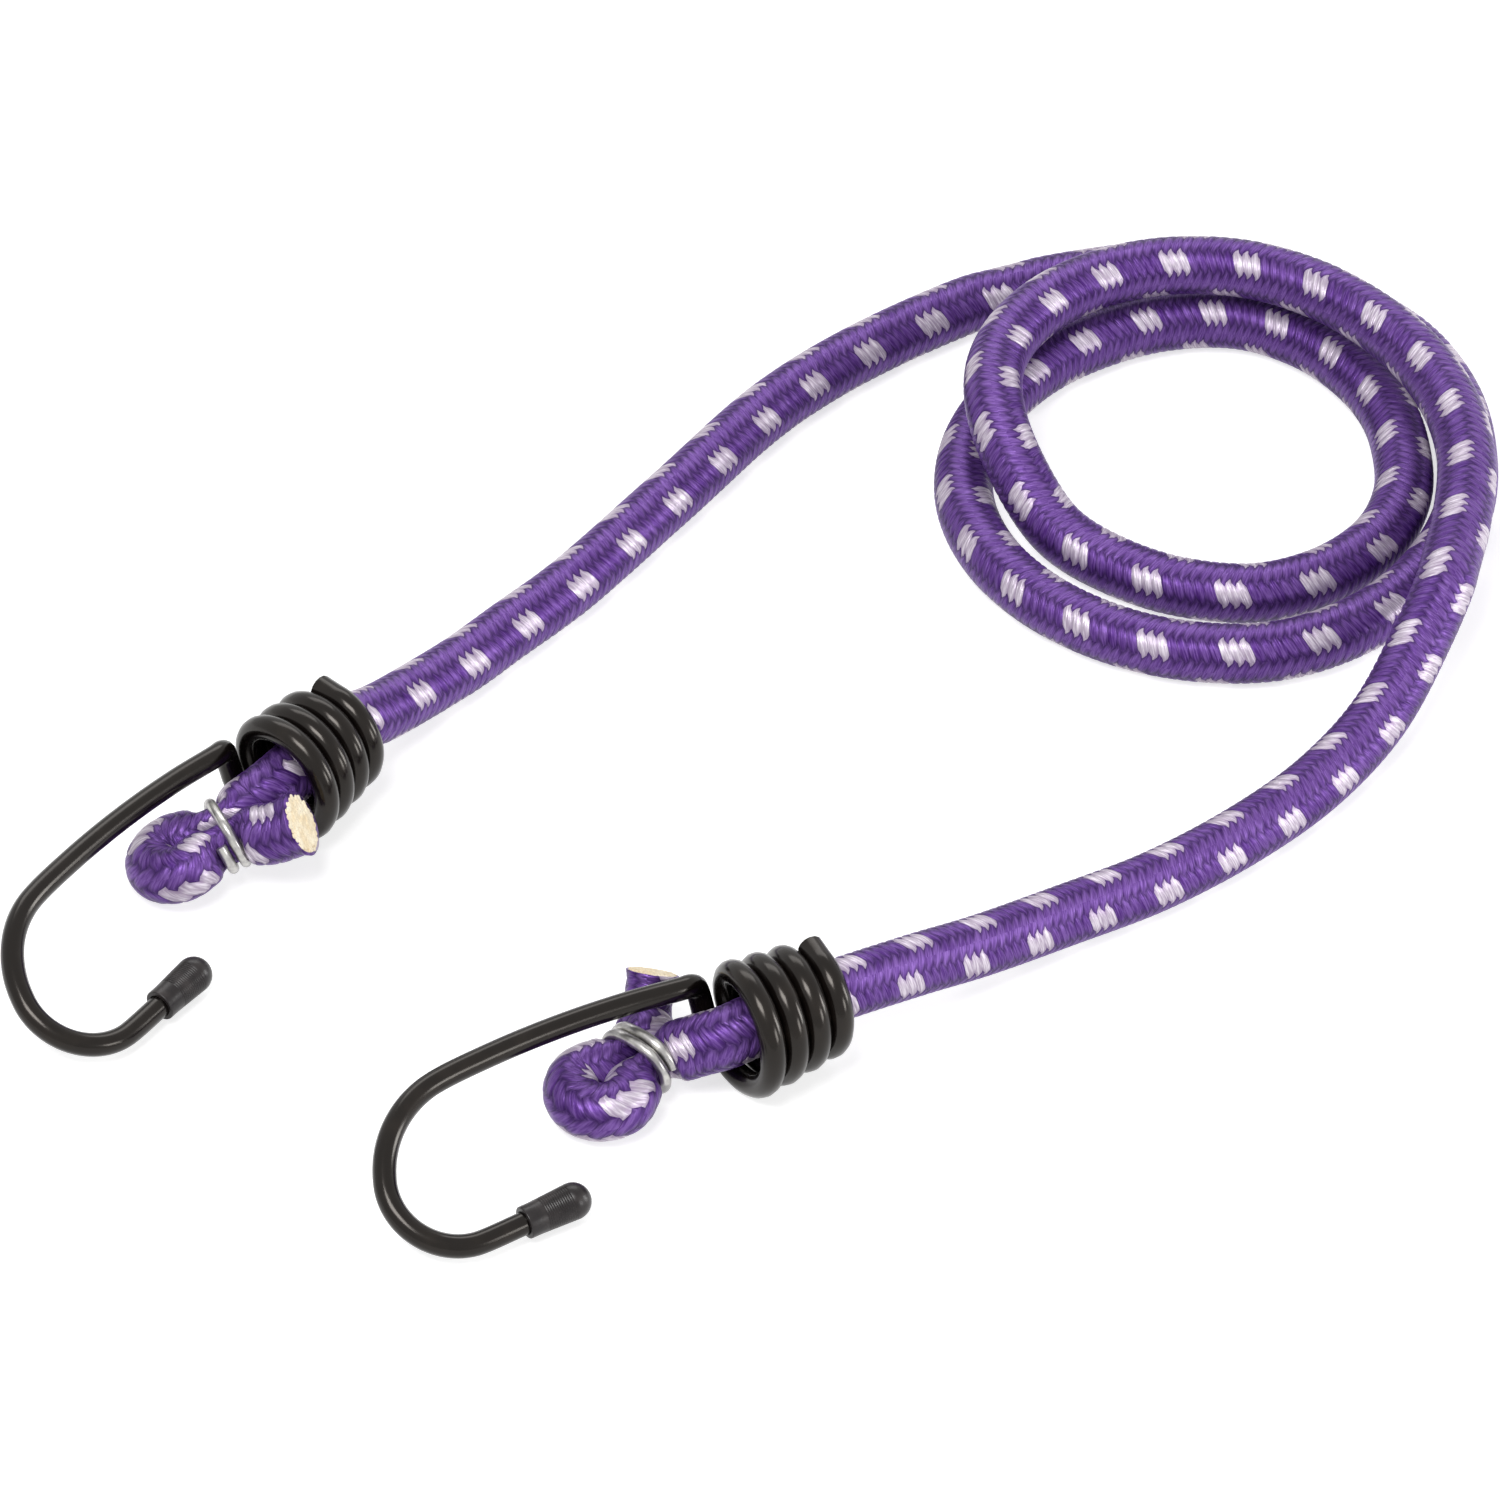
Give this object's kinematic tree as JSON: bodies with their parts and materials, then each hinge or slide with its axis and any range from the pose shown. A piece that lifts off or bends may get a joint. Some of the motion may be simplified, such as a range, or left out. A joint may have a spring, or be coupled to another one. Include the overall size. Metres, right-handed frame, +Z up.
{
  "type": "bungee cord",
  "caption": "Braided elastic cord lying in loose turns, with a wire hook coiled round each end that swivels on the cord and a soft cap on each hook's tip.",
  "frame": {"origin": "middle of the box round the two hooks, on the surface that the part lies on", "axes": "+Z up from the surface; the picture looks along +Y from above; both hooks lie towards -X and -Y, the loose turns towards +X and +Y"},
  "size_m": [0.1923, 0.195, 0.0174],
  "materials": {
    "sleeve": "braided, slight sheen",
    "core": "matt",
    "clamp": "galvanised",
    "hook": "satin black",
    "tip_cap": "matt"
  },
  "bodies": {
    "cord": {"sleeve_end_a": "sleeve", "sleeve_run_a": "sleeve", "sleeve_turns": "sleeve", "sleeve_run_b": "sleeve", "sleeve_end_b": "sleeve", "core_end_a": "core", "core_run_a": "core", "core_turns": "core", "core_run_b": "core", "core_end_b": "core", "clamp_a": "clamp", "clamp_b": "clamp"},
    "hook_a": {"hook_a": "hook", "tip_cap_a": "tip_cap"},
    "hook_b": {"hook_b": "hook", "tip_cap_b": "tip_cap"}
  },
  "joints": [
    {"name": "hook_a_swivel", "type": "hinge", "parent": "cord", "child": "hook_a", "pos_m": [-0.02036, 0.03267, 0.00875], "axis": [-0.6045, -0.7964, -0.0209], "range_deg": [-100, 20]},
    {"name": "hook_b_swivel", "type": "hinge", "parent": "cord", "child": "hook_b", "pos_m": [0.03764, -0.01353, 0.00875], "axis": [-0.857, -0.5149, -0.0209], "range_deg": [-225, 7]}
  ]
}
